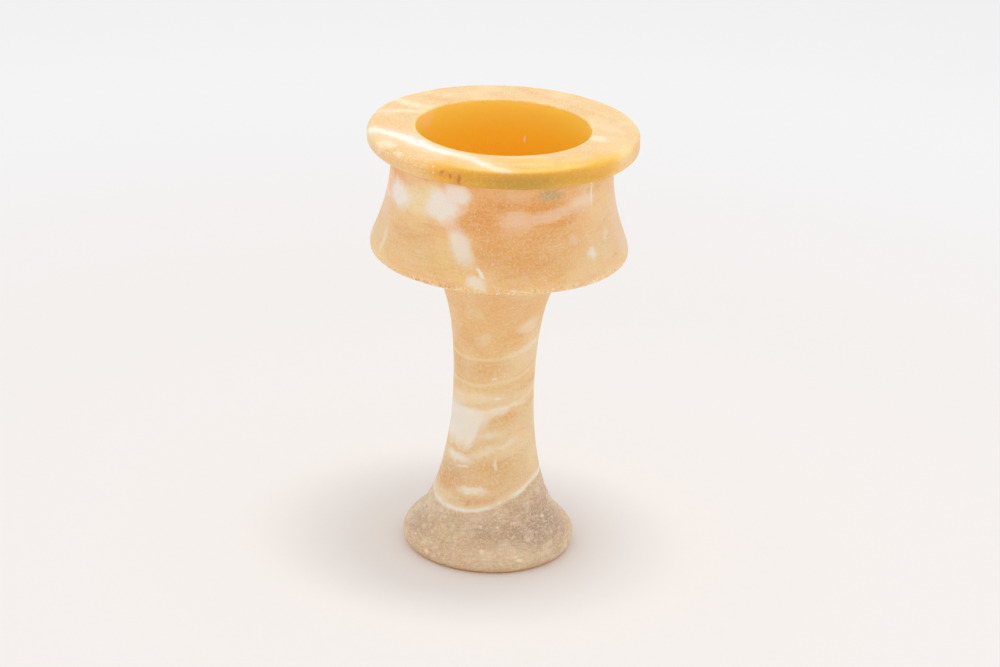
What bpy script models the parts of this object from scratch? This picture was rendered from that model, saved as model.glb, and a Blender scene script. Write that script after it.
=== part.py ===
"""A stemmed cup with a wide flat rim, turned and bored from one block of banded alabaster.

Metres, +Z up. The origin is the centre of the foot's flat underside, on the vessel's axis.
"""

import math

import bmesh
import bpy

# Foot, from the table up to the waist of the stem
WAIST_RADIUS = 0.0184
FOOT_SPREAD = 0.0207
FOOT_TUCK = 0.0038
FOOT_EDGE_RISE = 0.0052
SHOULDER_INSET = 0.0087
SHOULDER_RISE = 0.0117
SHOULDER_SLANT = math.radians(-33)
FLARE_RISE = 0.0581

# Stem head, which opens like a trumpet under the bowl
HEAD_SPREAD = 0.0086
HEAD_RISE = 0.055
HEAD_SLANT = math.radians(30)

# Bowl, whose side draws in from its lower edge up to the neck
NECK_RADIUS = 0.0491
BOWL_SPREAD = 0.0083
UNDERSIDE_RISE = 0.0117
UNDERSIDE_SLANT = math.radians(76)
EDGE_INSET = 0.0061
EDGE_RISE = 0.0036
SIDE_RISE = 0.0387
NECK_RISE = 0.0037
NECK_FILLET = 0.003

# Rim, a flat ring that stands out past the neck
RIM_OVERHANG = 0.0108
RIM_THICKNESS = 0.0093
RIM_LOWER_ROUND = 0.0041
RIM_UPPER_ROUND = 0.0028

# Cavity, bored down from the mouth
NECK_WALL = 0.0107
LIP_ROUND = 0.0012
FLOOR_THICKNESS = 0.020
FLOOR_ROUND = 0.014

# How finely the outline and the turning are divided
SEGMENTS = 72
SHORT_STEPS = 4
LONG_STEPS = 6

# How strongly a curve holds its direction at its ends, as a share of its length
SOFT_PULL = 0.28
TIGHT_PULL = 0.10
LONG_PULL = 0.55

# Radii and heights that follow from the sizes above
FOOT_RADIUS = WAIST_RADIUS + FOOT_SPREAD
SHOULDER_RADIUS = FOOT_RADIUS - SHOULDER_INSET
HEAD_RADIUS = WAIST_RADIUS + HEAD_SPREAD
BOWL_RADIUS = NECK_RADIUS + BOWL_SPREAD
RIM_RADIUS = NECK_RADIUS + RIM_OVERHANG
BORE_RADIUS = NECK_RADIUS - NECK_WALL
SHOULDER_Z = FOOT_EDGE_RISE + SHOULDER_RISE
WAIST_Z = SHOULDER_Z + FLARE_RISE
HEAD_Z = WAIST_Z + HEAD_RISE
UNDERSIDE_Z = HEAD_Z + UNDERSIDE_RISE
EDGE_Z = UNDERSIDE_Z + EDGE_RISE
NECK_Z = EDGE_Z + SIDE_RISE
RIM_Z = NECK_Z + NECK_RISE + NECK_FILLET
TOP_Z = RIM_Z + RIM_THICKNESS
FLOOR_Z = HEAD_Z + FLOOR_THICKNESS

ALABASTER_COLOUR = (0.79, 0.50, 0.21, 1.0)
ALABASTER_ROUGHNESS = 0.5


def sweep(start, start_slant, end, end_slant, steps, start_pull=SOFT_PULL, end_pull=SOFT_PULL):
    """Points after start on a smooth curve to end. A slant is an angle from straight up."""
    reach = math.dist(start, end)
    leave = (
        start[0] + start_pull * reach * math.sin(start_slant),
        start[1] + start_pull * reach * math.cos(start_slant),
    )
    arrive = (
        end[0] - end_pull * reach * math.sin(end_slant),
        end[1] - end_pull * reach * math.cos(end_slant),
    )
    points = []
    for step in range(1, steps + 1):
        t = step / steps
        weights = ((1 - t) ** 3, 3 * t * (1 - t) ** 2, 3 * t * t * (1 - t), t**3)
        corners = (start, leave, arrive, end)
        points.append(tuple(sum(w * c[k] for w, c in zip(weights, corners)) for k in (0, 1)))
    return points


def rounding(centre, radii, start_turn, end_turn, steps):
    """Points on an arc round centre. Turns are quarters of a circle, 0 outwards and 1 up."""
    points = []
    for step in range(steps + 1):
        angle = (start_turn + (end_turn - start_turn) * step / steps) * math.pi / 2
        points.append((centre[0] + radii[0] * math.cos(angle), centre[1] + radii[1] * math.sin(angle)))
    return points


def foot_outline():
    """The flat underside, the tucked edge, the domed shoulder and the flare up to the waist."""
    tuck = rounding((FOOT_RADIUS - FOOT_TUCK, FOOT_EDGE_RISE), (FOOT_TUCK, FOOT_EDGE_RISE), -1, 0, SHORT_STEPS)
    shoulder = (SHOULDER_RADIUS, SHOULDER_Z)
    dome = sweep(tuck[-1], 0, shoulder, SHOULDER_SLANT, SHORT_STEPS)
    flare = sweep(shoulder, SHOULDER_SLANT, (WAIST_RADIUS, WAIST_Z), 0, LONG_STEPS)
    return [(0, 0), *tuck, *dome, *flare]


def bowl_outline():
    """The stem's head, the bowl's underside, its rounded lower edge and its side up to the neck."""
    head = sweep((WAIST_RADIUS, WAIST_Z), 0, (HEAD_RADIUS, HEAD_Z), HEAD_SLANT, LONG_STEPS)
    under_end = (BOWL_RADIUS - EDGE_INSET, UNDERSIDE_Z)
    underside = sweep(head[-1], HEAD_SLANT, under_end, UNDERSIDE_SLANT, SHORT_STEPS)
    widest = (BOWL_RADIUS, EDGE_Z)
    edge = sweep(under_end, UNDERSIDE_SLANT, widest, 0, SHORT_STEPS, LONG_PULL, LONG_PULL)
    side = sweep(widest, 0, (NECK_RADIUS, NECK_Z), 0, LONG_STEPS, TIGHT_PULL, LONG_PULL)
    return [*head, *underside, *edge, *side]


def rim_outline():
    """The fillet under the rim, its rounded side and its flat top as far as the mouth."""
    fillet = rounding(
        (NECK_RADIUS + NECK_FILLET, RIM_Z - NECK_FILLET), (NECK_FILLET, NECK_FILLET), 2, 1, SHORT_STEPS
    )
    lower = rounding(
        (RIM_RADIUS - RIM_LOWER_ROUND, RIM_Z + RIM_LOWER_ROUND),
        (RIM_LOWER_ROUND, RIM_LOWER_ROUND), -1, 0, SHORT_STEPS,
    )
    upper = rounding(
        (RIM_RADIUS - RIM_UPPER_ROUND, TOP_Z - RIM_UPPER_ROUND),
        (RIM_UPPER_ROUND, RIM_UPPER_ROUND), 0, 1, SHORT_STEPS,
    )
    return [*fillet, *lower, *upper]


def cavity_outline():
    """The softened lip, the straight bore and the floor with its rounded corner."""
    lip = rounding(
        (BORE_RADIUS + LIP_ROUND, TOP_Z - LIP_ROUND), (LIP_ROUND, LIP_ROUND), 1, 2, SHORT_STEPS
    )
    corner = rounding(
        (BORE_RADIUS - FLOOR_ROUND, FLOOR_Z + FLOOR_ROUND), (FLOOR_ROUND, FLOOR_ROUND), 0, -1, SHORT_STEPS
    )
    return [*lip, *corner, (0, FLOOR_Z)]


def turned(name, outline):
    """A solid of revolution: the outline spun round the vessel's axis."""
    shape = bmesh.new()
    ring = [shape.verts.new((radius, 0, height)) for radius, height in outline]
    line = [shape.edges.new(pair) for pair in zip(ring, ring[1:])]
    bmesh.ops.spin(
        shape, geom=[*ring, *line], cent=(0, 0, 0), axis=(0, 0, 1), angle=math.tau,
        steps=SEGMENTS, use_merge=True,
    )
    bmesh.ops.remove_doubles(shape, verts=shape.verts, dist=1e-6)
    bmesh.ops.recalc_face_normals(shape, faces=shape.faces)
    mesh = bpy.data.meshes.new(name)
    shape.to_mesh(mesh)
    shape.free()
    mesh.shade_smooth()
    mesh.set_sharp_from_angle(angle=math.radians(35))
    piece = bpy.data.objects.new(name, mesh)
    bpy.context.scene.collection.objects.link(piece)
    return piece


def alabaster():
    """Honey-coloured calcite alabaster with a dull hand-rubbed surface."""
    material = bpy.data.materials.new("alabaster")
    material.use_nodes = True
    shader = material.node_tree.nodes["Principled BSDF"]
    shader.inputs["Base Color"].default_value = ALABASTER_COLOUR
    shader.inputs["Roughness"].default_value = ALABASTER_ROUGHNESS
    shader.inputs["Metallic"].default_value = 0.0
    return material


def build():
    for item in list(bpy.data.objects):
        bpy.data.objects.remove(item)
    outline = [*foot_outline(), *bowl_outline(), *rim_outline(), *cavity_outline()]
    vessel = turned("rhyton", outline)
    vessel.data.materials.append(alabaster())


build()
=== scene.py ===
# %% [markdown]
# A stemmed cup with a wide flat rim, carved from one block of banded alabaster.
#
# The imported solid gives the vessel's true size and place. This script keeps that form and adds
# what a hand would feel and an eye would see: the slightly uneven turning, chips and pits, the
# beds and veins of the stone, and the warm light that soaks through it.

# %% Load the frame
import math
import random

import bmesh
import bpy
import numpy as np
from mathutils import Matrix, Vector, noise
from mathutils.bvhtree import BVHTree


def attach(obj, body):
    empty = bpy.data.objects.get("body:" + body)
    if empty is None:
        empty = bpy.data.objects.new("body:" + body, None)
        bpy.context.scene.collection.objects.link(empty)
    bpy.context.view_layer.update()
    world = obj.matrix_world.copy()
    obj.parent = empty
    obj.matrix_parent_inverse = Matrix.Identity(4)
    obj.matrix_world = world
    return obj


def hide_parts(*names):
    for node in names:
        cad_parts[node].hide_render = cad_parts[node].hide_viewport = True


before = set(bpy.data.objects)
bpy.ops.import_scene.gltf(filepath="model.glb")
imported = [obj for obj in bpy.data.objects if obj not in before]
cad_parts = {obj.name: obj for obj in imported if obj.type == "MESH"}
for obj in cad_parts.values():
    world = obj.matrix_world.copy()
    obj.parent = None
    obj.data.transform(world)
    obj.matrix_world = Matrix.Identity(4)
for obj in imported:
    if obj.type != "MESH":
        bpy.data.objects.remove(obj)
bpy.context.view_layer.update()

MM = 0.001

# %% [markdown]
# The camera comes first, because every later choice is judged through it. The photograph was
# taken from a little over a metre with a short telephoto lens, looking down on the rim. The
# vessel leans very slightly in the frame, which is a roll of the camera.

# %% Camera
LENS_MM = 108.0
SENSOR_MM = 36.0
CAMERA_DISTANCE = 1.3469
CAMERA_ELEVATION = math.radians(22.49)
CAMERA_ROLL = math.radians(2.283)
CAMERA_TARGET = Vector((0.00195, 0.0, 0.10198))


def make_camera():
    """A camera in front of the vessel, turned about its own line of sight by the roll."""
    data = bpy.data.cameras.new("camera")
    data.lens = LENS_MM
    data.sensor_width = SENSOR_MM
    data.clip_end = 100
    camera = bpy.data.objects.new("camera", data)
    bpy.context.scene.collection.objects.link(camera)
    ahead = Vector((0, math.cos(CAMERA_ELEVATION), -math.sin(CAMERA_ELEVATION)))
    level = Vector((1, 0, 0))
    above = level.cross(ahead)
    right = math.cos(CAMERA_ROLL) * level + math.sin(CAMERA_ROLL) * above
    up = right.cross(ahead)
    turn = Matrix((right, up, -ahead)).transposed()
    camera.matrix_world = Matrix.Translation(CAMERA_TARGET - CAMERA_DISTANCE * ahead) @ turn.to_4x4()
    bpy.context.scene.camera = camera
    return camera


camera = make_camera()
print("camera stands", round(camera.location.z, 3), "m above the table")

# %% [markdown]
# The outline is that of the solid, in the same named sizes, so the two agree. A turned shape is
# easiest to describe by its half section: a line that runs from the middle of the underside, up
# the outside, over the rim and down into the cavity. Here it is divided much more finely. A slant
# is an angle from straight up, and a pull says how long a curve keeps to its slant at one end, as
# a share of the distance that it covers.

# %% Sizes of the outline, in millimetres
WAIST_RADIUS = 18.4
FOOT_SPREAD = 20.7
FOOT_TUCK = 3.8
FOOT_EDGE_RISE = 5.2
SHOULDER_INSET = 8.7
SHOULDER_RISE = 11.7
SHOULDER_SLANT = math.radians(-33)
FLARE_RISE = 58.1
HEAD_SPREAD = 8.6
HEAD_RISE = 55.0
HEAD_SLANT = math.radians(30)
NECK_RADIUS = 49.1
BOWL_SPREAD = 8.3
UNDERSIDE_RISE = 11.7
UNDERSIDE_SLANT = math.radians(76)
EDGE_INSET = 6.1
EDGE_RISE = 3.6
SIDE_RISE = 38.7
NECK_RISE = 3.7
NECK_FILLET = 3.0
RIM_OVERHANG = 10.8
RIM_THICKNESS = 9.3
NECK_WALL = 10.7
LIP_ROUND = 1.2
FLOOR_THICKNESS = 20.0
FLOOR_ROUND = 14.0
FLOOR_HUB = 8.0

SOFT_PULL = 0.28
TIGHT_PULL = 0.10
LONG_PULL = 0.55

FOOT_RADIUS = WAIST_RADIUS + FOOT_SPREAD
SHOULDER_Z = FOOT_EDGE_RISE + SHOULDER_RISE
WAIST_Z = SHOULDER_Z + FLARE_RISE
HEAD_Z = WAIST_Z + HEAD_RISE
UNDERSIDE_Z = HEAD_Z + UNDERSIDE_RISE
EDGE_Z = UNDERSIDE_Z + EDGE_RISE
NECK_Z = EDGE_Z + SIDE_RISE
RIM_Z = NECK_Z + NECK_RISE + NECK_FILLET
TOP_Z = RIM_Z + RIM_THICKNESS
FLOOR_Z = HEAD_Z + FLOOR_THICKNESS
BOWL_RADIUS = NECK_RADIUS + BOWL_SPREAD
RIM_RADIUS = NECK_RADIUS + RIM_OVERHANG
BORE_RADIUS = NECK_RADIUS - NECK_WALL
print("the outline rises to", round(TOP_Z, 1), "mm and reaches", round(RIM_RADIUS, 1), "mm out")

# %% [markdown]
# Three kinds of line make the whole half section: a straight run, a round corner, and a sweep
# that leaves one point and reaches the next in given directions.

# %% Lines of the outline


def straight(start, end, steps):
    """Points after start on a straight line to end."""
    return [
        tuple(a + (b - a) * step / steps for a, b in zip(start, end)) for step in range(1, steps + 1)
    ]


def rounding(centre, radii, start_turn, end_turn, steps):
    """Points on an arc round centre. Turns are quarters of a circle, 0 outwards and 1 up."""
    points = []
    for step in range(steps + 1):
        angle = (start_turn + (end_turn - start_turn) * step / steps) * math.pi / 2
        points.append((centre[0] + radii[0] * math.cos(angle), centre[1] + radii[1] * math.sin(angle)))
    return points


def sweep(start, start_slant, end, end_slant, steps, start_pull=SOFT_PULL, end_pull=SOFT_PULL):
    """Points after start on a smooth curve to end. A slant is an angle from straight up."""
    reach = math.dist(start, end)
    leave = (
        start[0] + start_pull * reach * math.sin(start_slant),
        start[1] + start_pull * reach * math.cos(start_slant),
    )
    arrive = (
        end[0] - end_pull * reach * math.sin(end_slant),
        end[1] - end_pull * reach * math.cos(end_slant),
    )
    points = []
    for step in range(1, steps + 1):
        t = step / steps
        weights = ((1 - t) ** 3, 3 * t * (1 - t) ** 2, 3 * t * t * (1 - t), t**3)
        corners = (start, leave, arrive, end)
        points.append(tuple(sum(w * c[k] for w, c in zip(weights, corners)) for k in (0, 1)))
    return points


def foot_outline():
    """The flat underside, the tucked edge, the domed shoulder and the flare up to the waist."""
    tuck = rounding((FOOT_RADIUS - FOOT_TUCK, FOOT_EDGE_RISE), (FOOT_TUCK, FOOT_EDGE_RISE), -1, 0, 10)
    shoulder = (FOOT_RADIUS - SHOULDER_INSET, SHOULDER_Z)
    dome = sweep(tuck[-1], 0, shoulder, SHOULDER_SLANT, 16)
    flare = sweep(shoulder, SHOULDER_SLANT, (WAIST_RADIUS, WAIST_Z), 0, 45)
    return [*tuck, *dome, *flare]


def bowl_outline():
    """The stem's head, the bowl's underside, its rounded lower edge and its side up to the neck."""
    head = sweep((WAIST_RADIUS, WAIST_Z), 0, (WAIST_RADIUS + HEAD_SPREAD, HEAD_Z), HEAD_SLANT, 38)
    under_end = (BOWL_RADIUS - EDGE_INSET, UNDERSIDE_Z)
    underside = sweep(head[-1], HEAD_SLANT, under_end, UNDERSIDE_SLANT, 14)
    widest = (BOWL_RADIUS, EDGE_Z)
    edge = sweep(under_end, UNDERSIDE_SLANT, widest, 0, 16, LONG_PULL, LONG_PULL)
    side = sweep(widest, 0, (NECK_RADIUS, NECK_Z), 0, 40, TIGHT_PULL, LONG_PULL)
    return [*head, *underside, *edge, *side]


def rim_outline(reach, drop, lower_round):
    """The fillet under the rim, its rounded side and its flat top as far as the mouth."""
    fillet = rounding((NECK_RADIUS + NECK_FILLET, RIM_Z - NECK_FILLET), (NECK_FILLET, NECK_FILLET), 2, 1, 6)
    lower_centre = (RIM_RADIUS - lower_round, RIM_Z + lower_round)
    lower = rounding(lower_centre, (lower_round, lower_round), -1, 0, 8)
    upper = rounding((RIM_RADIUS - reach, TOP_Z - drop), (reach, drop), 0, 1, 10)
    top = straight(upper[-1], (BORE_RADIUS + LIP_ROUND, TOP_Z), 14)
    below = straight(fillet[-1], lower[0], 2)
    side = straight(lower[-1], upper[0], 1)
    return [*fillet, *below, *lower, *side, *upper, *top]


def cavity_outline():
    """The softened lip, the straight bore and the floor with its rounded corner."""
    lip = rounding((BORE_RADIUS + LIP_ROUND, TOP_Z - LIP_ROUND), (LIP_ROUND, LIP_ROUND), 1, 2, 5)
    corner = rounding(
        (BORE_RADIUS - FLOOR_ROUND, FLOOR_Z + FLOOR_ROUND), (FLOOR_ROUND, FLOOR_ROUND), 0, -1, 8
    )
    bore = straight(lip[-1], corner[0], 14)
    return [*lip[1:], *bore, *corner[1:], *straight(corner[-1], (FLOOR_HUB, FLOOR_Z), 2)]


print("half section:", len(foot_outline()), "points up the foot,", len(bowl_outline()), "up the bowl")

# %% [markdown]
# The rim's edges aren't the same all round. The upper one is crisp in front, where the side
# stands nearly square, and worn into a broad slope at the left. Azimuth is measured in degrees
# round the vessel: -90 is the front, 0 the right, 180 the left and 90 the back. Each row gives
# how far the upper rounding reaches in over the top, how far it drops down the side, and the
# radius of the lower rounding.

# %% Wear of the rim's edges
WEAR = (
    (-180, 5.0, 3.6, 4.1), (-150, 8.0, 4.6, 4.1), (-124, 6.5, 4.4, 4.1), (-104, 2.0, 2.0, 4.1),
    (-85, 1.5, 1.5, 4.1), (-60, 1.9, 1.9, 3.6), (-38, 3.6, 2.8, 2.8), (0, 3.4, 2.6, 2.8),
    (60, 2.0, 2.0, 3.6), (120, 2.0, 2.0, 4.1), (155, 2.6, 2.4, 4.1),
)


def wear(azimuth):
    """How far the upper rounding reaches in and drops down, and the lower radius, in millimetres."""
    degrees = math.degrees(azimuth)
    places, *sizes = zip(*WEAR)
    return tuple(float(np.interp(degrees, places, size, period=360)) for size in sizes)


for degrees in (-90, -150):
    print("the rim's edges at", degrees, "degrees", [round(size, 1) for size in wear(math.radians(degrees))])

# %% [markdown]
# Relief is what the stone has lost or never had: the section wanders by up to a fifth of a
# millimetre, the tool has left faint level ripples, the bowl's lower edge and the foot are
# chipped, and the weathered foot is pitted. It could be a bump in the finish, but an outline
# that never wavers looks like plastic, so all of it down to about a millimetre is mesh. Relief
# is only taken away, so the vessel stays inside the solid's box.

# %% Relief
WANDER_MM = 0.18
WANDER_SPAN_MM = 34.0
RIPPLE_MM = 0.07
RIPPLE_SPAN_MM = Vector((16.0, 16.0, 2.4))
PIT_MM = 0.28
PIT_SPACING_MM = 3.4
PIT_RADIUS_MM = 0.8
WEATHERED_Z = 20.0
SOUND_Z = 34.0
CHIP_COUNT = 64
CHIP_FRONT_DEGREES = (-84, 16)
CHIP_SIZES = (0.8, 1.9)
CHIP_DEPTHS = (0.25, 0.7)
CHIP_REACH = 1.6
CHIP_RAGGED_SPAN = 0.9
EDGE_SLOPE = 2.2
FOOT_CHIP_COUNT = 26
FOOT_CHIP_SIZES = (1.0, 2.6)
FOOT_CHIP_DEPTHS = (0.2, 0.5)
FOOT_CHIP_INSET = 0.4


def chip(azimuth, radius, height, size, depth):
    """A chip: its centre, the radius of its mouth and its depth, in millimetres."""
    centre = Vector((radius * math.cos(azimuth), radius * math.sin(azimuth), height))
    return centre, size, depth


def edge_chips():
    """Small chips along the bowl's lower edge, closest together in front, and round the foot."""
    draw = random.Random(7)
    chips = []
    for index in range(CHIP_COUNT):
        in_front = index < CHIP_COUNT // 3
        degrees = draw.gauss(*CHIP_FRONT_DEGREES) if in_front else draw.uniform(-180, 180)
        height = UNDERSIDE_Z + draw.uniform(-0.2, 1.6)
        inset = EDGE_INSET - EDGE_SLOPE * (height - UNDERSIDE_Z)
        size = draw.uniform(*CHIP_SIZES)
        depth = draw.uniform(*CHIP_DEPTHS)
        chips.append(chip(math.radians(degrees), BOWL_RADIUS - inset, height, size, depth))
    for _ in range(FOOT_CHIP_COUNT):
        size = draw.uniform(*FOOT_CHIP_SIZES)
        height = draw.uniform(0.8, 6.0)
        angle = math.radians(draw.uniform(-180, 180))
        depth = draw.uniform(*FOOT_CHIP_DEPTHS)
        chips.append(chip(angle, FOOT_RADIUS - FOOT_CHIP_INSET, height, size, depth))
    return chips


def ramp(value, start, end):
    """0 before start and 1 after end, with a smooth rise between."""
    share = min(1.0, max(0.0, (value - start) / (end - start)))
    return share * share * (3 - 2 * share)


def relief(point, chips):
    """How much stone is missing at a point of the surface, in millimetres."""
    wander = 0.5 + 0.5 * noise.fractal(point / WANDER_SPAN_MM, 0.6, 2.0, 2)
    stretched = Vector(p / s for p, s in zip(point, RIPPLE_SPAN_MM))
    lost = WANDER_MM * wander + RIPPLE_MM * (0.5 + 0.5 * noise.noise(stretched))
    weathered = 1 - ramp(point.z, WEATHERED_Z, SOUND_Z)
    if weathered > 0:
        nearest = noise.voronoi(point / PIT_SPACING_MM)[0][0] * PIT_SPACING_MM
        lost += weathered * PIT_MM * (1 - ramp(nearest, 0, PIT_RADIUS_MM))
    for centre, size, depth in chips:
        away = (point - centre).length
        if away < CHIP_REACH * size:
            ragged = 1 + 0.5 * noise.noise(point / CHIP_RAGGED_SPAN)
            lost += depth * (1 - ramp(away * ragged, 0.35 * size, 1.1 * size))
    return max(0.0, lost)


chips = edge_chips()
print(len(chips), "chips, the deepest", round(max(depth for _, _, depth in chips), 2), "mm")

# %% [markdown]
# The mesh is a net of rings. Each azimuth has its own half section, so that the rim's edge can
# change on the way round, and every point is pushed in along the outline's normal by its relief.
# The underside stays flat, because that is what the vessel stands on.

# %% The vessel
SECTORS = 384
STANDING_MM = 0.6
EDGE_LIFT_MM = 0.3
EDGE_LIFT_AZIMUTH = math.radians(-160)
CHIP_FACING = 0.98


def outline_at(azimuth):
    """The half section at an azimuth. The bowl's lower edge is a little higher at the left."""
    lift = EDGE_LIFT_MM * (1 + math.cos(azimuth - EDGE_LIFT_AZIMUTH))
    line = []
    for radius, height in [*foot_outline(), *bowl_outline()]:
        share = ramp(radius, WAIST_RADIUS + HEAD_SPREAD, NECK_RADIUS) * ramp(height, NECK_Z, EDGE_Z)
        line.append((radius, height + lift * share * ramp(height, WAIST_Z, HEAD_Z)))
    return [*line, *rim_outline(*wear(azimuth)), *cavity_outline()]


def carved_points(azimuth, chips_near):
    """One half section, in millimetres, with its relief taken off."""
    line = np.array(outline_at(azimuth))
    keep = np.ones(len(line), bool)
    keep[1:] = np.linalg.norm(np.diff(line, axis=0), axis=1) > 1e-4
    line = line[keep]
    along = np.gradient(line, axis=0)
    along /= np.linalg.norm(along, axis=1)[:, None]
    points = []
    for (radius, height), (run, rise) in zip(line.tolist(), along.tolist()):
        point = Vector((radius * math.cos(azimuth), radius * math.sin(azimuth), height))
        outward = Vector((rise * math.cos(azimuth), rise * math.sin(azimuth), -run))
        near = [c for c in chips_near if abs(c[0].z - height) < CHIP_REACH * c[1]]
        standing = ramp(height, 0, STANDING_MM)
        points.append(MM * (point - standing * relief(point, near) * outward))
    return points


def vessel_mesh():
    """The whole net, closed by one point under the foot and one on the cavity's floor."""
    shape = bmesh.new()
    rings = []
    for sector in range(SECTORS):
        azimuth = 2 * math.pi * sector / SECTORS - math.pi
        direction = Vector((math.cos(azimuth), math.sin(azimuth), 0))
        facing = [c for c in chips if direction.dot(c[0].xy.to_3d().normalized()) > CHIP_FACING]
        rings.append([shape.verts.new(p) for p in carved_points(azimuth, facing)])
    below = shape.verts.new((0, 0, 0))
    above = shape.verts.new((0, 0, sum(ring[-1].co.z for ring in rings) / SECTORS))
    for here, there in zip(rings, [*rings[1:], rings[0]]):
        for a, b, c, d in zip(here, there, there[1:], here[1:]):
            shape.faces.new((a, b, c, d))
        shape.faces.new((below, there[0], here[0]))
        shape.faces.new((above, here[-1], there[-1]))
    mesh = bpy.data.meshes.new("vessel")
    shape.to_mesh(mesh)
    shape.free()
    mesh.shade_smooth()
    return mesh


vessel = bpy.data.objects.new("vessel", vessel_mesh())
bpy.context.scene.collection.objects.link(vessel)
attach(vessel, "root")
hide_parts("rhyton")
print("vessel has", sum(len(face.vertices) - 2 for face in vessel.data.polygons), "triangles")

# %% [markdown]
# A check that the fine mesh keeps the solid's form: how far some of its points are from the
# solid's surface.

# %% Distance from the solid
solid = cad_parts["rhyton"].data
corners = [vertex.co for vertex in solid.vertices]
solid_tree = BVHTree.FromPolygons(corners, [face.vertices[:] for face in solid.polygons])
EVERY = 37
sample = [vertex.co for vertex in vessel.data.vertices if vertex.index % EVERY == 0]
gaps = [solid_tree.find_nearest(point)[3] / MM for point in sample]
print("from the solid: mean", round(sum(gaps) / len(gaps), 2), "mm, most", round(max(gaps), 2), "mm")

# %% [markdown]
# Finishes are built from nodes. One small function adds a node, sets its properties, fills its
# inputs with values or with other nodes' outputs, and hands back one output. Colours are written
# as they look on a screen and turned into linear light by one function.

# %% Helpers for finishes


def linear(hex_colour):
    """A screen colour such as #E5BD89 as linear red, green and blue with an alpha of 1."""
    shares = [int(hex_colour[i : i + 2], 16) / 255 for i in (1, 3, 5)]
    return (*[s / 12.92 if s <= 0.04045 else ((s + 0.055) / 1.055) ** 2.4 for s in shares], 1.0)


def add(tree, kind, inputs, output=0, **settings):
    """Adds a node and gives one of its outputs. An input takes a value or another node's output."""
    node = tree.nodes.new(kind)
    for name, value in settings.items():
        setattr(node, name, value)
    for name, value in inputs.items():
        if isinstance(value, bpy.types.NodeSocket):
            tree.links.new(value, node.inputs[name])
        else:
            node.inputs[name].default_value = value
    return node.outputs[output] if node.outputs else node


def empty_material(name):
    """A new material with nothing in it yet."""
    material = bpy.data.materials.new(name)
    material.use_nodes = True
    material.node_tree.nodes.clear()
    return material


print("a linear middle grey is", round(linear("#808080")[0], 3))

# %% [markdown]
# A mark on stone is a share between 0 and 1 that says how much of another tone shows. Three
# kinds of mark are enough here. Cloudy marks come from smooth noise. Lenses are ellipsoids of
# another tone sunk in the block, cut open by the carving, so they look right from every side.
# Veins are thin beds, and are found by how far a point is from one level. Two masks, a sector of
# the vessel and a share of its height, keep a mark to one part of it.

# %% Kinds of mark
LENS_REACH = 2.0


def cloudy(tree, place, span, bare, full, strength=1.0, detail=2.0):
    """No mark where noise is below bare, and all of it above full. Features are span mm across."""
    waves = add(tree, "ShaderNodeTexNoise", {"Vector": place, "Scale": 1 / span, "Detail": detail})
    limits = {"Value": waves, "From Min": bare, "From Max": full, "To Max": strength}
    return add(tree, "ShaderNodeMapRange", limits, interpolation_type="SMOOTHSTEP")


def lens(tree, place, centre, turns, sizes):
    """How near a point is to the middle of an ellipsoid: 1 there, a half on its surface, then 0."""
    near = add(tree, "ShaderNodeTexGradient", {"Vector": place}, "Fac", gradient_type="SPHERICAL")
    mapping = near.node.texture_mapping
    mapping.vector_type = "TEXTURE"
    mapping.translation = centre
    mapping.rotation = turns
    mapping.scale = [LENS_REACH * size for size in sizes]
    return near


def lenses(tree, nears, blur, strength):
    """One mark from several lenses. blur is the share of their size over which the edge is soft."""
    nearest = nears[0]
    for near in nears[1:]:
        nearest = add(tree, "ShaderNodeMath", {0: nearest, 1: near}, operation="MAXIMUM")
    edge = 1 - 1 / LENS_REACH
    soft = blur / LENS_REACH
    limits = {"Value": nearest, "From Min": edge - soft, "From Max": edge + soft, "To Max": strength}
    return add(tree, "ShaderNodeMapRange", limits, interpolation_type="SMOOTHSTEP")


def vein(tree, bed, level, half_width, soft, strength=1.0):
    """A mark along one level of the beds."""
    off = add(tree, "ShaderNodeMath", {0: bed, 1: level}, operation="SUBTRACT")
    away = add(tree, "ShaderNodeMath", {0: off}, operation="ABSOLUTE")
    limits = {"Value": away, "From Min": half_width + soft, "From Max": half_width, "To Max": strength}
    return add(tree, "ShaderNodeMapRange", limits, interpolation_type="SMOOTHSTEP")


def levelled(tree, place):
    """A place with its height taken out."""
    return add(tree, "ShaderNodeVectorMath", {0: place, 1: (1, 1, 0)}, operation="MULTIPLY")


def from_axis(tree, place):
    """How far a point is from the vessel's axis."""
    return add(tree, "ShaderNodeVectorMath", {0: levelled(tree, place)}, "Value", operation="LENGTH")


def facing_out(tree, place):
    """The level direction in which a point lies from the axis, with a length of 1."""
    return add(tree, "ShaderNodeVectorMath", {0: levelled(tree, place)}, operation="NORMALIZE")


def sector(tree, place, azimuth, half_angle, soft_angle):
    """A mark over one side of the vessel, found from how nearly a point faces that azimuth."""
    facing = facing_out(tree, place)
    towards = (math.cos(azimuth), math.sin(azimuth), 0)
    nearness = add(tree, "ShaderNodeVectorMath", {0: facing, 1: towards}, "Value", operation="DOT_PRODUCT")
    limits = {
        "Value": nearness,
        "From Min": math.cos(half_angle + soft_angle),
        "From Max": math.cos(half_angle - soft_angle),
    }
    return add(tree, "ShaderNodeMapRange", limits, interpolation_type="SMOOTHSTEP")


def height_share(tree, place, bare, full):
    """A mark that comes in between two heights."""
    height = add(tree, "ShaderNodeSeparateXYZ", {0: place}, "Z")
    limits = {"Value": height, "From Min": bare, "From Max": full}
    return add(tree, "ShaderNodeMapRange", limits, interpolation_type="SMOOTHSTEP")


print("a lens is felt as far as", LENS_REACH, "times its size from its middle")

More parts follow.
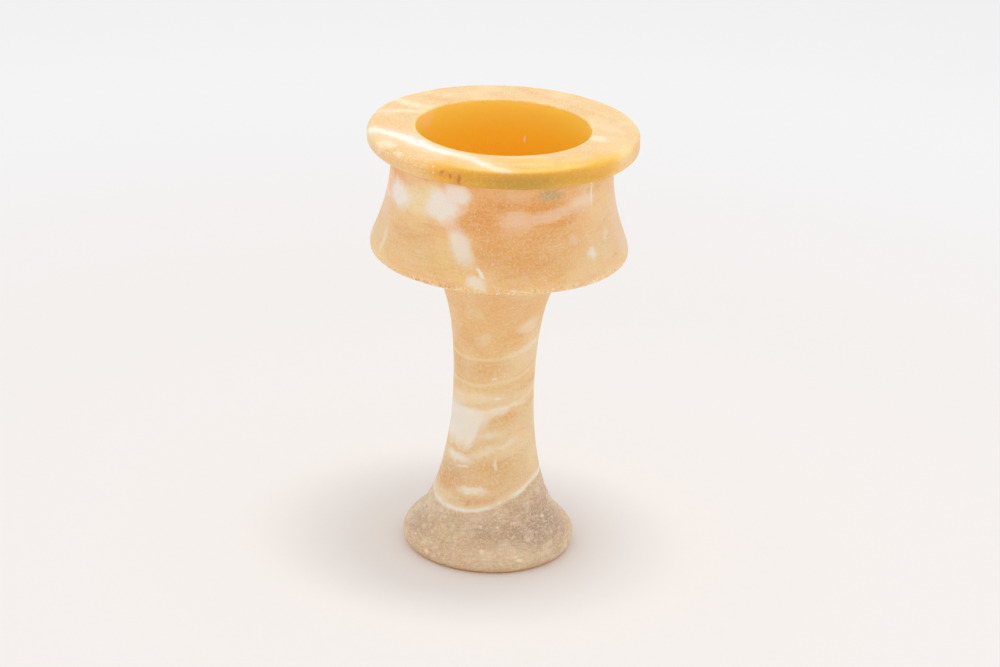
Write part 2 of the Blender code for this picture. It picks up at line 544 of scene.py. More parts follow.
# %% [markdown]
# Two finer things cover the whole surface. Whitish specks are where single crystals were bruised
# by the tool. Real ones are about 0.25 mm across, and these are drawn twice as coarse so that
# they still show in the picture. Each row gives their spacing and radius, the share of places
# left bare, and their strength. Streaks run round the vessel, the way it was turned.

# %% Specks and streaks
FINE_SPECKS = (1.2, 0.26, 0.45, 0.7)
COARSE_SPECKS = (3.2, 0.45, 0.55, 0.8)
STREAK_LENGTHS = 9.0
STREAK_WIDTH = 0.8


def specks(tree, place, spacing, radius, share_bare, strength):
    """Small round spots in a part of the cells of a random net."""
    away = add(tree, "ShaderNodeTexVoronoi", {"Vector": place, "Scale": 1 / spacing}, "Distance")
    edge = radius / spacing
    spot = add(tree, "ShaderNodeMapRange", {"Value": away, "From Min": edge * 1.5, "From Max": edge * 0.7})
    chance = add(tree, "ShaderNodeSeparateColor", {0: away.node.outputs["Color"]})
    limits = {"Value": chance, "From Min": share_bare, "From Max": 1.0, "To Max": strength}
    chosen = add(tree, "ShaderNodeMapRange", limits)
    return add(tree, "ShaderNodeMath", {0: spot, 1: chosen}, operation="MULTIPLY")


def streaks(tree, place):
    """Noise drawn out round the vessel: long in azimuth, narrow in height and in radius."""
    facing = facing_out(tree, place)
    climb = add(tree, "ShaderNodeVectorMath", {0: place, 1: (0, 0, 1 / STREAK_WIDTH)}, operation="MULTIPLY")
    around = {0: facing, 1: (STREAK_LENGTHS, STREAK_LENGTHS, 0), 2: climb}
    vector = add(tree, "ShaderNodeVectorMath", around, operation="MULTIPLY_ADD")
    radius = from_axis(tree, place)
    outward = add(tree, "ShaderNodeMath", {0: radius, 1: STREAK_WIDTH}, operation="DIVIDE")
    waves = {"Vector": vector, "W": outward, "Scale": 1.0, "Detail": 2.0}
    return add(tree, "ShaderNodeTexNoise", waves, noise_dimensions="4D")


def drawn_out(tree, streak, bare, full, strength):
    """A mark where the streaks are strong, or weak if full is below bare."""
    limits = {"Value": streak, "From Min": bare, "From Max": full, "To Max": strength}
    return add(tree, "ShaderNodeMapRange", limits)


for spacing, radius, *_ in (FINE_SPECKS, COARSE_SPECKS):
    print("specks", 2 * radius, "mm across in a net of", spacing, "mm")

# %% [markdown]
# Lenses on the side are placed by azimuth and height, and turned in the surface like the hand of
# a clock. Those on the rim's flat top are placed by x and y.

# %% Placing lenses
SIDE_LINE = [*foot_outline(), *bowl_outline(), (RIM_RADIUS, RIM_Z), (RIM_RADIUS, TOP_Z)]
LENS_DEPTH = 13.0
TOP_LENS_DEPTH = 7.5


def side_lenses(tree, place, blur, strength, *rows):
    """One mark from rows of azimuth, height, half width, half height and turn, in degrees and mm."""
    radii, heights = zip(*SIDE_LINE)
    nears = []
    for azimuth, height, half_width, half_height, turn in rows:
        angle = math.radians(azimuth)
        radius = float(np.interp(height, heights, radii))
        centre = (radius * math.cos(angle), radius * math.sin(angle), height)
        turns = (math.radians(turn), 0, angle)
        nears.append(lens(tree, place, centre, turns, (LENS_DEPTH, half_width, half_height)))
    return lenses(tree, nears, blur, strength)


def top_lenses(tree, place, blur, strength, *rows):
    """One mark on the rim's top from rows of x, y, half length, half thickness and turn."""
    nears = []
    for x, y, half_length, half_thickness, turn in rows:
        sizes = (half_length, half_thickness, min(half_thickness * 3, TOP_LENS_DEPTH))
        nears.append(lens(tree, place, (x, y, TOP_Z), (0, 0, math.radians(turn)), sizes))
    return lenses(tree, nears, blur, strength)


print("lenses reach", LENS_DEPTH, "mm into the wall and", TOP_LENS_DEPTH, "mm into the rim's top")

# %% [markdown]
# Alabaster of this kind is calcite laid down in beds, like sheets of paper a little out of
# level. Here the beds rise to the right and to the back by about 16 degrees. Everything that
# follows them is drawn from one number: the height of a point at right angles to the beds, made
# slightly wavy. The places of the marks are warped too, because no mark has a ruled edge.

# %% Beds of the stone
BED_NORMAL = Vector((-0.2185, -0.1568, 0.963)).normalized()
BED_WAVES = ((40.0, 1.6), (4.0, 0.25))
EDGE_WARPS = ((13.0, 2.0), (2.4, 0.8))


def millimetres(tree):
    """The place of a point on the vessel, in millimetres."""
    place = add(tree, "ShaderNodeTexCoord", {}, "Object")
    return add(tree, "ShaderNodeVectorMath", {0: place, "Scale": 1 / MM}, operation="SCALE")


def warped(tree, place, *warps):
    """A place pushed about by noise. Each warp is a span and a push in millimetres."""
    for span, push in warps:
        inputs = {"Vector": place, "Scale": 1 / span}
        waves = add(tree, "ShaderNodeTexNoise", inputs, "Color", normalize=False)
        pushed = {0: waves, 1: (push, push, push), 2: place}
        place = add(tree, "ShaderNodeVectorMath", pushed, operation="MULTIPLY_ADD")
    return place


def bed_level(tree, place):
    """The height at right angles to the beds, in millimetres."""
    wavy = warped(tree, place, *BED_WAVES)
    return add(tree, "ShaderNodeVectorMath", {0: wavy, 1: BED_NORMAL}, "Value", operation="DOT_PRODUCT")


print("the beds lean by", round(math.degrees(BED_NORMAL.angle(Vector((0, 0, 1)))), 1), "degrees")

# %% [markdown]
# The block's own tone changes on the way up: straw low down, honey in the stem and the bowl,
# deepest under the rim and pale again on its top. A colour ramp up the vessel gives this, and
# fine bands of deeper honey break it up. The grey of the foot and the orange in the bowl are
# marks, which later cells lay over it.

# %% Tones along the block
BLOCK_TONES = (
    (0, "#E5C598"), (45, "#E9C893"), (62, "#EED1A0"), (92, "#F0CB8B"),
    (112, "#F1C480"), (132, "#F2C07E"), (144, "#F1C584"), (152, "#F3C984"),
    (172, "#F4C883"), (186, "#F2C27C"), (192, "#EDBE72"), (200, "#E7C78C"),
)
BLOCK_SPAN = 210.0
TONE_WARP = (12.0, 5.0)
BAND_SPAN = 5.0


def block_tone(tree, place):
    """The stone's own colour at a height."""
    wavy = warped(tree, place, TONE_WARP)
    height = add(tree, "ShaderNodeSeparateXYZ", {0: wavy}, "Z")
    share = add(tree, "ShaderNodeMath", {0: height, 1: BLOCK_SPAN}, operation="DIVIDE")
    tone = add(tree, "ShaderNodeValToRGB", {"Fac": share})
    stops = tone.node.color_ramp.elements
    while len(stops) < len(BLOCK_TONES):
        stops.new(0.5)
    for stop, (level, colour) in zip(stops, BLOCK_TONES):
        stop.position = level / BLOCK_SPAN
        stop.color = linear(colour)
    return tone


def fine_bands(tree, place, bed):
    """Deeper and paler bands a few millimetres thick, which come and go along the beds."""
    inputs = {"W": bed, "Scale": 1 / BAND_SPAN, "Detail": 3.0}
    waves = add(tree, "ShaderNodeTexNoise", inputs, noise_dimensions="1D")
    limits = {"Value": waves, "From Min": 0.46, "From Max": 0.72}
    band = add(tree, "ShaderNodeMapRange", limits, interpolation_type="SMOOTHSTEP")
    where = cloudy(tree, place, 15, 0.35, 0.65, 0.55)
    return add(tree, "ShaderNodeMath", {0: band, 1: where}, operation="MULTIPLY")


print("the block has", len(BLOCK_TONES), "tones, the last at", BLOCK_TONES[-1][0], "mm")

# %% [markdown]
# Marks of the stem: three cream veins that thicken to the right, a broad white lens on the left
# with a tail, and small white lenses where the same pure calcite is only just cut open.

# %% Marks of the stem
WHITE = linear("#FBF5EC")
STEM_WHITE = linear("#FAF0E3")
CREAM = linear("#FCECD0")
PALE_HONEY = linear("#F6DDB4")
DEEP_HONEY = linear("#E3AA5F")
PINKISH = linear("#DDB48C")
STEM_VEINS = ((96.9, 0.2, 1.2, 0.45), (84.4, 0.2, 1.2, 0.40), (72.4, 0.3, 0.9, 0.5))


def stem_marks(tree, ragged, bed):
    """The pale and deep lenses and the veins of the stem, each mark with its tone."""
    yield side_lenses(
        tree, ragged, 0.7, 0.7,
        (-106.5, 107, 3.2, 2.6, 0), (-150, 47, 8, 4, 0), (-25, 48, 5, 6, 0),
        (-62, 78, 12, 4, 14), (-50, 95, 12, 4, 14), (-60, 54, 10, 4, 14),
    ), PALE_HONEY
    yield side_lenses(tree, ragged, 0.7, 0.3, (-134, 90, 8, 5, 8)), PINKISH
    yield side_lenses(tree, ragged, 0.7, 0.65, (-142, 38, 8, 6, 8)), PINKISH
    yield side_lenses(
        tree, ragged, 0.7, 0.35,
        (-140, 105, 8, 6, 0), (-92, 92, 9, 3, 10), (-72, 67, 7, 3, 20), (-90, 44, 9, 4, 10),
        (-100, 38, 8, 2.4, 8), (-152, 92, 5, 15, 0),
    ), DEEP_HONEY
    yield side_lenses(
        tree, ragged, 0.6, 0.7,
        (-46, 113, 5, 3, 10), (-40, 101.6, 9, 1.8, 18), (-84, 71.2, 8, 2.2, 10),
        (-60, 73.4, 8, 1.3, 12), (-124, 76, 12, 3, 8), (-100, 52.4, 7, 1.6, 20),
    ), CREAM
    for level, half_width, soft, strength in STEM_VEINS:
        yield vein(tree, bed, level, half_width, soft, strength), CREAM
    yield side_lenses(
        tree, ragged, 0.7, 0.5, (-146, 50.4, 5.4, 0.9, 4), (-158, 49.5, 3, 1.0, 0),
    ), DEEP_HONEY


def stem_whites(tree, ragged):
    """White lenses of the stem, which lie over its streaks and specks."""
    yield side_lenses(
        tree, ragged, 0.4, 0.9,
        (-128, 66.8, 9, 4.6, 8), (-150, 62, 12, 9.4, 0), (-122, 61, 3.4, 8.0, -14),
    ), STEM_WHITE
    yield side_lenses(
        tree, ragged, 0.7, 0.5,
        (-80, 71.6, 6, 1.0, 12), (-94, 60.6, 4.0, 1.4, 10), (-66, 55.4, 4.2, 0.9, 18),
    ), STEM_WHITE
    yield side_lenses(
        tree, ragged, 0.6, 0.8,
        (-135, 47.4, 6.2, 2.0, 2), (-111.5, 33.9, 6.2, 1.4, 8),
    ), STEM_WHITE
    yield side_lenses(
        tree, ragged, 0.7, 0.6,
        (-90.3, 88.4, 1.7, 0.7, 10), (-83.4, 77.2, 1.8, 0.7, 12), (-84.5, 46.6, 0.8, 2.6, 0),
        (-128, 43.5, 2.6, 0.8, 10),
    ), WHITE


print("veins of the stem", [level for level, *_ in STEM_VEINS], "mm up the beds")

# %% [markdown]
# Marks of the bowl: deep orange in front, white lenses on the left with yellow halos between
# them, a pinkish bed to the right, a few streaks and a star-shaped bruise, and a weak pale pink at
# both side edges that is painted sheen. Its lower edge, which gets every knock, is chalky and
# bruised all round.

# %% Marks of the bowl
ORANGE = linear("#E9A544")
YELLOW = linear("#FBE9B8")
GOLD = linear("#F9D892")
PINK_AND_SHEEN = linear("#F5D4B1")
GREY_GREEN = linear("#BCB07C")
BRUISE = linear("#A98A60")
EDGE_LOW_Z = 140.8
EDGE_HIGH_Z = 147.0


def bowl_marks(tree, place, ragged):
    """The coloured lenses of the bowl and its bruised lower edge, each mark with its tone."""
    yield side_lenses(
        tree, ragged, 0.8, 0.85,
        (-100, 173.6, 11, 5.0, 0), (-86, 180.5, 14, 3.4, 2), (-72, 180.6, 13, 2.6, 2),
        (-58, 172.4, 11, 1.8, 4), (-160, 183.5, 8, 2, 0), (-110, 169.5, 4, 2.0, 0),
    ), ORANGE
    yield side_lenses(
        tree, ragged, 0.8, 0.6,
        (-140, 161, 12, 2, 0), (-92, 163, 8, 8, 0), (-72, 166, 16, 5, 0), (-76, 157, 15, 7, 0),
    ), ORANGE
    yield side_lenses(tree, ragged, 0.9, 0.22, (-146, 160, 22, 12, 0), (-24, 164, 13, 14, 0)), PALE_HONEY
    yield side_lenses(
        tree, ragged, 0.6, 0.65,
        (-116, 160, 5.0, 7, 30), (-108, 149, 7, 3, 0), (-32, 176, 10, 6, 0), (-160, 148, 8, 3, 0),
        (-136, 185, 10, 1.6, 0),
    ), GOLD
    yield side_lenses(tree, ragged, 0.6, 0.95, (-136, 176.5, 9, 6.0, 0), (-126, 181.5, 8, 3.6, 0)), YELLOW
    yield side_lenses(
        tree, ragged, 0.6, 0.8,
        (-81, 174.5, 6.5, 3.8, 4), (-62, 176.6, 12, 2.6, 6), (-46, 178, 7.5, 4.6, 0),
        (-51, 163.5, 1.8, 1.8, 0), (-168, 168, 6, 7, 0), (-12, 168, 5, 12, 0), (-10, 152, 8, 6, 0),
    ), PINK_AND_SHEEN
    # Painted sheen: weak pale pink at both side edges of the bowl.
    yield side_lenses(tree, ragged, 0.9, 0.25, (-166, 164, 7, 14, 0), (-22, 164, 14, 13, 0)), PINK_AND_SHEEN
    yield side_lenses(
        tree, ragged, 0.6, 0.65,
        (-38.8, 180.5, 1.0, 5.5, 0), (-42.2, 157.2, 3.0, 2.8, 0), (-42.2, 157.2, 1.4, 1.2, 0),
        (-29, 160.5, 2.4, 1.6, 10), (-156, 154, 1.6, 6, 5), (-168, 171, 3, 1.6, 0), (-44, 180, 6, 3, 10),
    ), CREAM
    yield side_lenses(tree, ragged, 0.7, 0.65, (-64, 185.2, 6, 1.6, 0)), GREY_GREEN
    low = height_share(tree, place, EDGE_HIGH_Z, EDGE_HIGH_Z - 3)
    high = height_share(tree, place, EDGE_LOW_Z, EDGE_LOW_Z + 1)
    edge = add(tree, "ShaderNodeMath", {0: low, 1: high}, operation="MULTIPLY")
    chalk = cloudy(tree, place, 1.6, 0.53, 0.64, 0.7)
    yield add(tree, "ShaderNodeMath", {0: edge, 1: chalk}, operation="MULTIPLY"), WHITE
    bruise = cloudy(tree, ragged, 1.3, 0.56, 0.68, 0.6)
    yield add(tree, "ShaderNodeMath", {0: edge, 1: bruise}, operation="MULTIPLY"), BRUISE


def bowl_whites(tree, ragged):
    """White lenses of the bowl, which lie over its streaks and specks."""
    yield side_lenses(
        tree, ragged, 0.45, 0.92,
        (-152.5, 175.4, 9.0, 6.2, 0), (-120.5, 177.2, 8.4, 6.6, 10), (-112.5, 182.8, 6.0, 4.4, 25),
    ), WHITE
    yield side_lenses(
        tree, ragged, 0.5, 0.8, (-108.2, 162.2, 9.6, 4.2, -57), (-98.5, 147.4, 4.4, 2.6, -10),
    ), STEM_WHITE
    yield side_lenses(
        tree, ragged, 0.4, 0.85, (-97.4, 151.8, 3.0, 0.8, -45), (-38.8, 181.5, 0.5, 5.0, 0),
    ), WHITE
    yield side_lenses(tree, ragged, 0.8, 0.6, (-42.2, 157.2, 1.9, 1.6, 0)), WHITE


print("the bowl's bruised edge runs from", EDGE_LOW_Z, "to", EDGE_HIGH_Z, "mm")

# %% [markdown]
# Marks of the rim: one bright cream vein crosses the front left of its flat top, two fainter
# ones run into the mouth at the back left, and the front has an ochre stain that is deepest on
# the squared side, with a few brown smudges at its left end. The worn stretches of the side show
# pale and dark specks, where crystals stand open.

# %% Marks of the rim
OCHRE = linear("#DFB036")
OLIVE = linear("#C09C36")
DEEP_GOLD = linear("#EFB93C")
LIGHT_OCHRE = linear("#F5C23C")
PALE_GOLD = linear("#EAC888")
RIM_HONEY = linear("#EABE7E")
AMBER = linear("#DC9C30")
BROWN = linear("#8E5A1C")
PALE_LIP = linear("#FDDC94")
BRIGHT = linear("#FFFCF6")
DARK_SPOT = linear("#C99A58")
RIM_SPECKS = (2.4, 0.42, 0.45, 0.9)
STAIN_AZIMUTH = math.radians(-79)
STAIN_HALF_DEGREES = 41
STAIN_SOFT_DEGREES = 9


def rim_marks(tree, ragged):
    """The ochre wash, pale lenses and veins on the rim's top, each mark with its tone."""
    yield top_lenses(
        tree, ragged, 0.5, 0.95,
        (16, -54, 38, 13, 5), (43, -42, 13, 6, 45), (-22, -57, 16, 5, -22),
    ), LIGHT_OCHRE
    yield side_lenses(tree, ragged, 0.7, 0.7, (-138, 195, 26, 5.5, 0)), PALE_GOLD
    yield top_lenses(tree, ragged, 0.9, 0.7, (-50, -3, 11, 9, 0)), RIM_HONEY
    yield top_lenses(
        tree, ragged, 0.6, 0.8,
        (41.5, -11.5, 4.4, 3.0, -60), (-50, -27, 6, 2.4, -50), (-45, -38, 3, 1.2, -40),
    ), CREAM
    yield top_lenses(tree, ragged, 0.9, 0.7, (-42, 26.5, 10, 2.4, -27), (-44, 16.4, 11, 1.9, 8)), CREAM
    yield top_lenses(tree, ragged, 0.7, 0.35, (6, -50, 16, 1.8, 4), (32, -40, 7, 1.6, 30)), CREAM
    yield top_lenses(tree, ragged, 0.9, 0.6, (-32, -31, 46, 5.2, -40.4)), CREAM
    yield top_lenses(tree, ragged, 0.6, 1.0, (-29.5, -32.6, 44, 2.5, -40.4)), BRIGHT


def stain_marks(tree, place, ragged):
    """The stain on the rim's side, its smudges and the worn specks, each mark with its tone."""
    half_angle = math.radians(STAIN_HALF_DEGREES)
    front = sector(tree, ragged, STAIN_AZIMUTH, half_angle, math.radians(STAIN_SOFT_DEGREES))
    low = height_share(tree, place, RIM_Z - 1.1, RIM_Z + 0.5)
    high = height_share(tree, place, TOP_Z + 0.2, TOP_Z - 1.4)
    band = add(tree, "ShaderNodeMath", {0: low, 1: high}, operation="MULTIPLY")
    yield add(tree, "ShaderNodeMath", {0: front, 1: band}, operation="MULTIPLY"), OCHRE
    yield side_lenses(tree, ragged, 0.8, 0.7, (-114, 195.5, 7, 5.0, 0), (-45, 197.6, 10, 3.2, 0)), DEEP_GOLD
    yield side_lenses(tree, ragged, 0.8, 0.6, (-26, 195.5, 11, 5.4, 0)), PALE_LIP
    yield side_lenses(tree, ragged, 0.8, 0.75, (-82, 194, 14, 4.2, 0)), OLIVE
    yield side_lenses(tree, place, 0.9, 0.6, (-108.5, 194.2, 2.8, 3.6, 0), (-114, 196, 2.4, 1.6, 20)), AMBER
    yield side_lenses(
        tree, place, 0.9, 0.6,
        (-111.2, 195.6, 0.5, 1.0, 4), (-107.4, 194.2, 0.6, 2.2, -4), (-115.0, 196.6, 1.0, 0.5, 30),
    ), BROWN
    worn = side_lenses(tree, ragged, 0.5, 1.0, (-140, 196, 26, 5.0, 0), (-32, 197, 8, 3.6, 0))
    for place_of_spots, tone in ((place, WHITE), (ragged, DARK_SPOT)):
        spots = specks(tree, place_of_spots, *RIM_SPECKS)
        yield add(tree, "ShaderNodeMath", {0: worn, 1: spots}, operation="MULTIPLY"), tone


print("the stain covers", 2 * STAIN_HALF_DEGREES, "degrees of the rim's side")

# %% [markdown]
# Marks of the foot: below one cream vein the stone is weathered grey-beige, mauve to the right,
# with greenish and whitish mottling, as if it had stood in the ground. The vein dips in front and
# climbs to the right, so the beds are bent a little before it is drawn. A few chips show cream,
# and a warm orange line of painted glow runs round where the foot meets the table.

# %% Marks of the foot
FOOT_VEIN_LEVEL = 31.0
FOOT_VEIN_DIP = 1.8
FOOT_VEIN_RISE = 2.0
WEATHERED = linear("#D4B896")
MAUVE = linear("#C2A28A")
DUSKY = linear("#AC8C7C")
CHALKY = linear("#EDDCC4")
GREENISH = linear("#DCC79A")
CRACK = linear("#D09A58")
CONTACT_GLOW = linear("#EDB06A")


def foot_marks(tree, place, ragged, bed, streak):
    """The foot's vein, the weathered stone below it and painted glow at its base, each with its tone."""
    yield side_lenses(tree, ragged, 0.7, 0.6, (-150, 34, 8, 3, 10), (-98, 29.5, 8, 2, 8)), DEEP_HONEY
    yield side_lenses(tree, ragged, 0.7, 0.4, (-150, 27.5, 10, 1.6, 0)), CREAM
    down = side_lenses(tree, place, 1.0, FOOT_VEIN_DIP, (-98, 29, 17, 12, 0))
    up = side_lenses(tree, place, 1.0, FOOT_VEIN_RISE, (-57, 34, 15, 12, 0))
    lower = add(tree, "ShaderNodeMath", {0: bed, 1: down}, operation="ADD")
    bed = add(tree, "ShaderNodeMath", {0: lower, 1: up}, operation="SUBTRACT")
    limits = {"Value": bed, "From Min": FOOT_VEIN_LEVEL + 0.3, "From Max": FOOT_VEIN_LEVEL - 1.6}
    below = add(tree, "ShaderNodeMapRange", limits, interpolation_type="SMOOTHSTEP")
    yield below, WEATHERED
    patches = (
        (
            MAUVE, 0.7, 0.8,
            (-50, 18, 15, 7, 10), (-20, 22, 12, 8, 15), (-85, 19, 9, 3, 8), (-158, 12, 8, 5, 0),
        ),
        (DUSKY, 0.9, 0.55, (-34, 15, 14, 9, 10)),
        (GREENISH, 0.6, 0.6, (-122, 15, 8, 3.4, 0), (-84, 8, 7, 2.4, 0), (-66, 6, 5, 3, 0)),
        (CHALKY, 0.8, 0.32, (-75, 8, 26, 4.5, 0), (-100, 23, 8, 2.6, 8), (-150, 24, 10, 5, 0)),
    )
    for tone, blur, strength, *rows in patches:
        mark = side_lenses(tree, ragged, blur, strength, *rows)
        yield add(tree, "ShaderNodeMath", {0: mark, 1: below}, operation="MULTIPLY"), tone
    mottles = (
        (cloudy(tree, place, 6.0, 0.48, 0.70, 0.5), CHALKY),
        (cloudy(tree, place, 2.6, 0.54, 0.72, 0.28), MAUVE),
        (drawn_out(tree, streak, 0.52, 0.70, 0.3), CHALKY),
        (drawn_out(tree, streak, 0.46, 0.30, 0.3), MAUVE),
        (cloudy(tree, place, 1.5, 0.56, 0.70, 0.5), CHALKY),
        (specks(tree, place, *COARSE_SPECKS), CHALKY),
    )
    for mark, tone in mottles:
        yield add(tree, "ShaderNodeMath", {0: mark, 1: below}, operation="MULTIPLY"), tone
    yield side_lenses(
        tree, place, 0.7, 0.8,
        (-135, 5.4, 1.0, 1.3, 20), (-128, 4.6, 0.7, 0.6, 0), (-93.8, 10.4, 1.1, 0.8, 0),
        (-67.5, 6.7, 1.6, 0.7, -10), (-70, 8.2, 0.9, 0.5, 20), (-31.9, 19.6, 1.1, 0.7, 0),
        (-81.6, 19.3, 0.6, 0.5, 0), (-96.6, 19.2, 0.6, 0.5, 0),
    ), CREAM
    yield side_lenses(tree, ragged, 0.5, 0.7, (-115, 27.6, 0.45, 2.8, -14)), CRACK
    yield vein(tree, bed, FOOT_VEIN_LEVEL + 0.9, 0.3, 2.4, 0.4), CREAM
    line = vein(tree, bed, FOOT_VEIN_LEVEL + 0.2, 0.1, 1.3)
    strong = cloudy(tree, ragged, 7.0, 0.25, 0.60, 0.9)
    yield add(tree, "ShaderNodeMath", {0: line, 1: strong}, operation="MULTIPLY"), WHITE
    # Painted glow: a warm orange ring low round the foot, for light passing through its lower edge.
    radius = from_axis(tree, place)
    limits = {"Value": radius, "From Min": FOOT_RADIUS - 7, "From Max": FOOT_RADIUS - 4}
    ring = add(tree, "ShaderNodeMapRange", limits)
    low = height_share(tree, place, 2.8, 0.8)
    yield add(tree, "ShaderNodeMath", {0: ring, 1: low}, operation="MULTIPLY"), CONTACT_GLOW


print("the foot's vein lies", FOOT_VEIN_LEVEL, "mm up the beds")

# %% [markdown]
# The cavity is the deepest colour of all. Light that falls in is caught and thrown from wall to
# wall, and each time it keeps a little more red and a little less blue. The renderer does this
# by itself, and the wall is also given deep orange tones as painted glow for that caught light and
# for light that comes in through the thin wall: paler near the lip and deepest low down.

# %% The cavity
# Painted glow: these deep tones stand in for light caught in the cavity and coming through its wall.
CAVITY_GLOW_HIGH = linear("#FFDF62")
CAVITY_GLOW = linear("#FFD240")
CAVITY_GLOW_DEEP = linear("#FFC634")
CAVITY_MARGIN = 0.9
LIP_START = 0.1
LIP_FADE = 2.6
HIGH_FADE = 18.0
DEEP_START = 14.0
DEEP_FADE = 34.0


def cavity_glow_and_patches(tree, place):
    """Painted glow on the cavity's wall and floor, paler near the lip; one pale patch, one fleck."""
    radius = from_axis(tree, place)
    edge = BORE_RADIUS + CAVITY_MARGIN
    limits = {"Value": radius, "From Min": edge, "From Max": edge - CAVITY_MARGIN / 2}
    within = add(tree, "ShaderNodeMapRange", limits, interpolation_type="SMOOTHSTEP")
    above = height_share(tree, place, FLOOR_Z - 4, FLOOR_Z - 2)
    inside = add(tree, "ShaderNodeMath", {0: within, 1: above}, operation="MULTIPLY")
    # Painted glow, paler near the lip and deeper lower down.
    fades = (
        (CAVITY_GLOW_HIGH, LIP_START, LIP_FADE),
        (CAVITY_GLOW, LIP_START, HIGH_FADE),
        (CAVITY_GLOW_DEEP, DEEP_START, DEEP_FADE),
    )
    for tone, start, fade in fades:
        below_lip = height_share(tree, place, TOP_Z - start, TOP_Z - fade)
        yield add(tree, "ShaderNodeMath", {0: inside, 1: below_lip}, operation="MULTIPLY"), tone
    patches = (
        ((153, 196.0), (4, 5.0, 3.6), 0.9, 0.8, PALE_LIP),
        ((75.7, 181.7), (2, 0.5, 1.5), 0.6, 1.0, CREAM),
    )
    for (azimuth, height), sizes, blur, strength, tone in patches:
        angle = math.radians(azimuth)
        centre = (BORE_RADIUS * math.cos(angle), BORE_RADIUS * math.sin(angle), height)
        yield lenses(tree, [lens(tree, place, centre, (0, 0, angle), sizes)], blur, strength), tone


print("the cavity is", round(TOP_Z - FLOOR_Z, 1), "mm deep")

# %% [markdown]
# The finish is laid up like paint: the block's own tone first, then each mark over the last.
# Alabaster lets light in, and red light travels furthest, about a centimetre, so the thin rim
# glows and shadows on it are warm. The surface was ground with wet abrasive and not polished, so
# its shine is broad and soft. The IOR lies between calcite's two. The crystals' grain is a little
# under a millimetre, and is drawn at its real size.

# %% Alabaster
LIGHT_REACH = (1.0, 0.42, 0.18)
LIGHT_REACH_M = 0.009
GRAIN = (0.9, 0.42, 0.70, 0.42)
BLOOM = (1.1, 0.45, 0.72, 0.18)
STREAK_RELIEF = 0.10
GRAIN_RELIEF = 0.12
SPECK_TONE = linear("#FFEBD2")
PALE_STREAK = linear("#FFE3BF")
DARK_STREAK = linear("#DDA066")


def layers(tree, place, streak):
    """Every mark with its tone, from the lowest layer to the top one."""
    ragged = warped(tree, place, *EDGE_WARPS)
    bed = bed_level(tree, place)
    yield fine_bands(tree, place, bed), DEEP_HONEY
    yield cloudy(tree, place, 18, 0.45, 0.7, 0.5), PALE_HONEY
    yield from bowl_marks(tree, place, ragged)
    yield from stem_marks(tree, ragged, bed)
    yield from rim_marks(tree, ragged)
    yield from foot_marks(tree, place, ragged, bed, streak)
    yield drawn_out(tree, streak, 0.54, 0.72, 0.26), PALE_STREAK
    yield drawn_out(tree, streak, 0.46, 0.28, 0.20), DARK_STREAK
    yield cloudy(tree, place, *GRAIN), PALE_HONEY
    yield specks(tree, place, *FINE_SPECKS), SPECK_TONE
    yield from stem_whites(tree, ragged)
    yield from bowl_whites(tree, ragged)
    yield from stain_marks(tree, place, ragged)
    yield cloudy(tree, place, *BLOOM), PALE_HONEY
    yield from cavity_glow_and_patches(tree, place)


def alabaster():
    """The stone: every mark mixed over the block's tone, a fine relief, and light that soaks in."""
    material = empty_material("banded alabaster")
    tree = material.node_tree
    place = millimetres(tree)
    streak = streaks(tree, place)
    colour = block_tone(tree, place)
    for mark, tone in layers(tree, place, streak):
        inputs = {0: mark, 6: colour, 7: tone}
        colour = add(tree, "ShaderNodeMix", inputs, 2, data_type="RGBA")
    relief_mm = add(tree, "ShaderNodeMath", {0: streak, 1: STREAK_RELIEF}, operation="MULTIPLY")
    grain = cloudy(tree, place, *GRAIN)
    heights = {0: grain, 1: GRAIN_RELIEF, 2: relief_mm}
    raised = add(tree, "ShaderNodeMath", heights, operation="MULTIPLY_ADD")
    normal = add(tree, "ShaderNodeBump", {"Height": raised, "Distance": MM, "Strength": 1.0})
    shader = add(tree, "ShaderNodeBsdfPrincipled", {
        "Base Color": colour,
        "Roughness": 0.5,
        "IOR": 1.53,
        "Subsurface Weight": 1.0,
        "Subsurface Radius": LIGHT_REACH,
        "Subsurface Scale": LIGHT_REACH_M,
        "Normal": normal,
    })
    add(tree, "ShaderNodeOutputMaterial", {"Surface": shader})
    return material


vessel.data.materials.append(alabaster())
print("the finish has", len(vessel.data.materials[0].node_tree.nodes), "nodes")

# %% [markdown]
# The vessel stands on a seamless sheet of pale matt card, so there is only a floor, wide enough
# that no edge shows from any side. It is slightly warm near the vessel, and neutral and a little
# brighter further off, where the brightness is painted light as if from a lamp of its own.

# %% Floor
SHEET_HALF = 30.0
WARM_WITHIN = 0.25
NEUTRAL_BEYOND = 0.75


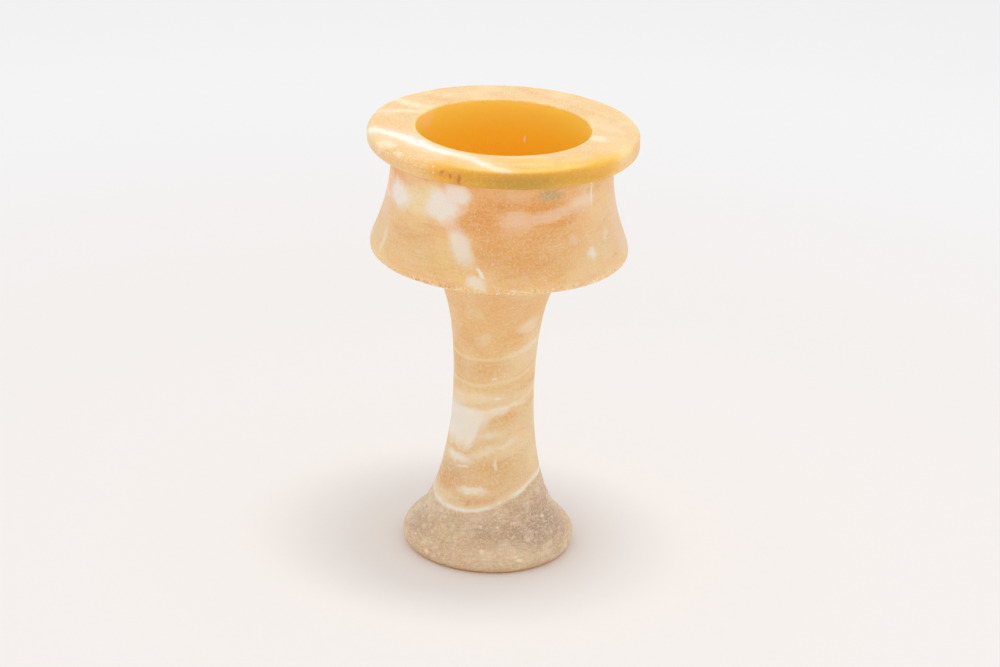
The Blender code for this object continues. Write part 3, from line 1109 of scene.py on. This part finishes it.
def pale_sheet():
    """Matt card without any gloss, two tones meeting softly, the far one brighter as painted light."""
    material = empty_material("pale sheet")
    tree = material.node_tree
    place = add(tree, "ShaderNodeTexCoord", {}, "Object")
    away = add(tree, "ShaderNodeVectorMath", {0: place}, "Value", operation="LENGTH")
    limits = {"Value": away, "From Min": WARM_WITHIN, "From Max": NEUTRAL_BEYOND}
    far = add(tree, "ShaderNodeMapRange", limits, interpolation_type="SMOOTHSTEP")
    # Painted light: the far tone is brighter, as if that part of the sheet had a lamp of its own.
    tones = {0: far, 6: linear("#F5F1EF"), 7: linear("#FEFEFF")}
    colour = add(tree, "ShaderNodeMix", tones, 2, data_type="RGBA")
    shader = add(tree, "ShaderNodeBsdfPrincipled", {
        "Base Color": colour,
        "Roughness": 0.9,
        "Specular IOR Level": 0.0,
    })
    add(tree, "ShaderNodeOutputMaterial", {"Surface": shader})
    return material


def make_floor():
    """One square face at the level that the vessel stands on."""
    mesh = bpy.data.meshes.new("floor")
    corners = [(x * SHEET_HALF, y * SHEET_HALF, 0) for x, y in ((-1, -1), (1, -1), (1, 1), (-1, 1))]
    mesh.from_pydata(corners, [], [(0, 1, 2, 3)])
    floor = bpy.data.objects.new("floor", mesh)
    bpy.context.scene.collection.objects.link(floor)
    mesh.materials.append(pale_sheet())


make_floor()
print("the sheet is", 2 * SHEET_HALF, "m wide")

# %% [markdown]
# The light is that of a white tent: soft from every side, and a little stronger from one oval
# lamp overhead, which draws the soft shadow of the bowl on the sheet round the foot. An even
# white world makes the tent, and an area light the lamp. The colours go to the picture as they
# are, with no film-like curve, so they can be compared with the photograph's.

# %% Light
SKY_STRENGTH = 0.842
LAMP_WATTS = 1.6
LAMP_WIDTH = 0.15
LAMP_LENGTH = 0.24
LAMP_PLACE = (0.043, -0.012, 0.92)


def make_light():
    """An even white world and one oval lamp that faces the middle of the foot."""
    world = bpy.data.worlds.new("tent")
    world.use_nodes = True
    background = world.node_tree.nodes["Background"]
    background.inputs["Color"].default_value = linear("#FFFFFF")
    background.inputs["Strength"].default_value = SKY_STRENGTH
    bpy.context.scene.world = world
    data = bpy.data.lights.new("overhead", "AREA")
    data.shape = "ELLIPSE"
    data.size = LAMP_WIDTH
    data.size_y = LAMP_LENGTH
    data.energy = LAMP_WATTS
    lamp = bpy.data.objects.new("overhead", data)
    lamp.location = LAMP_PLACE
    lamp.rotation_euler = Vector(LAMP_PLACE).to_track_quat("Z", "Y").to_euler()
    bpy.context.scene.collection.objects.link(lamp)


make_light()
bpy.context.scene.view_settings.view_transform = "Standard"
print("the lamp hangs", LAMP_PLACE[2], "m above the sheet")
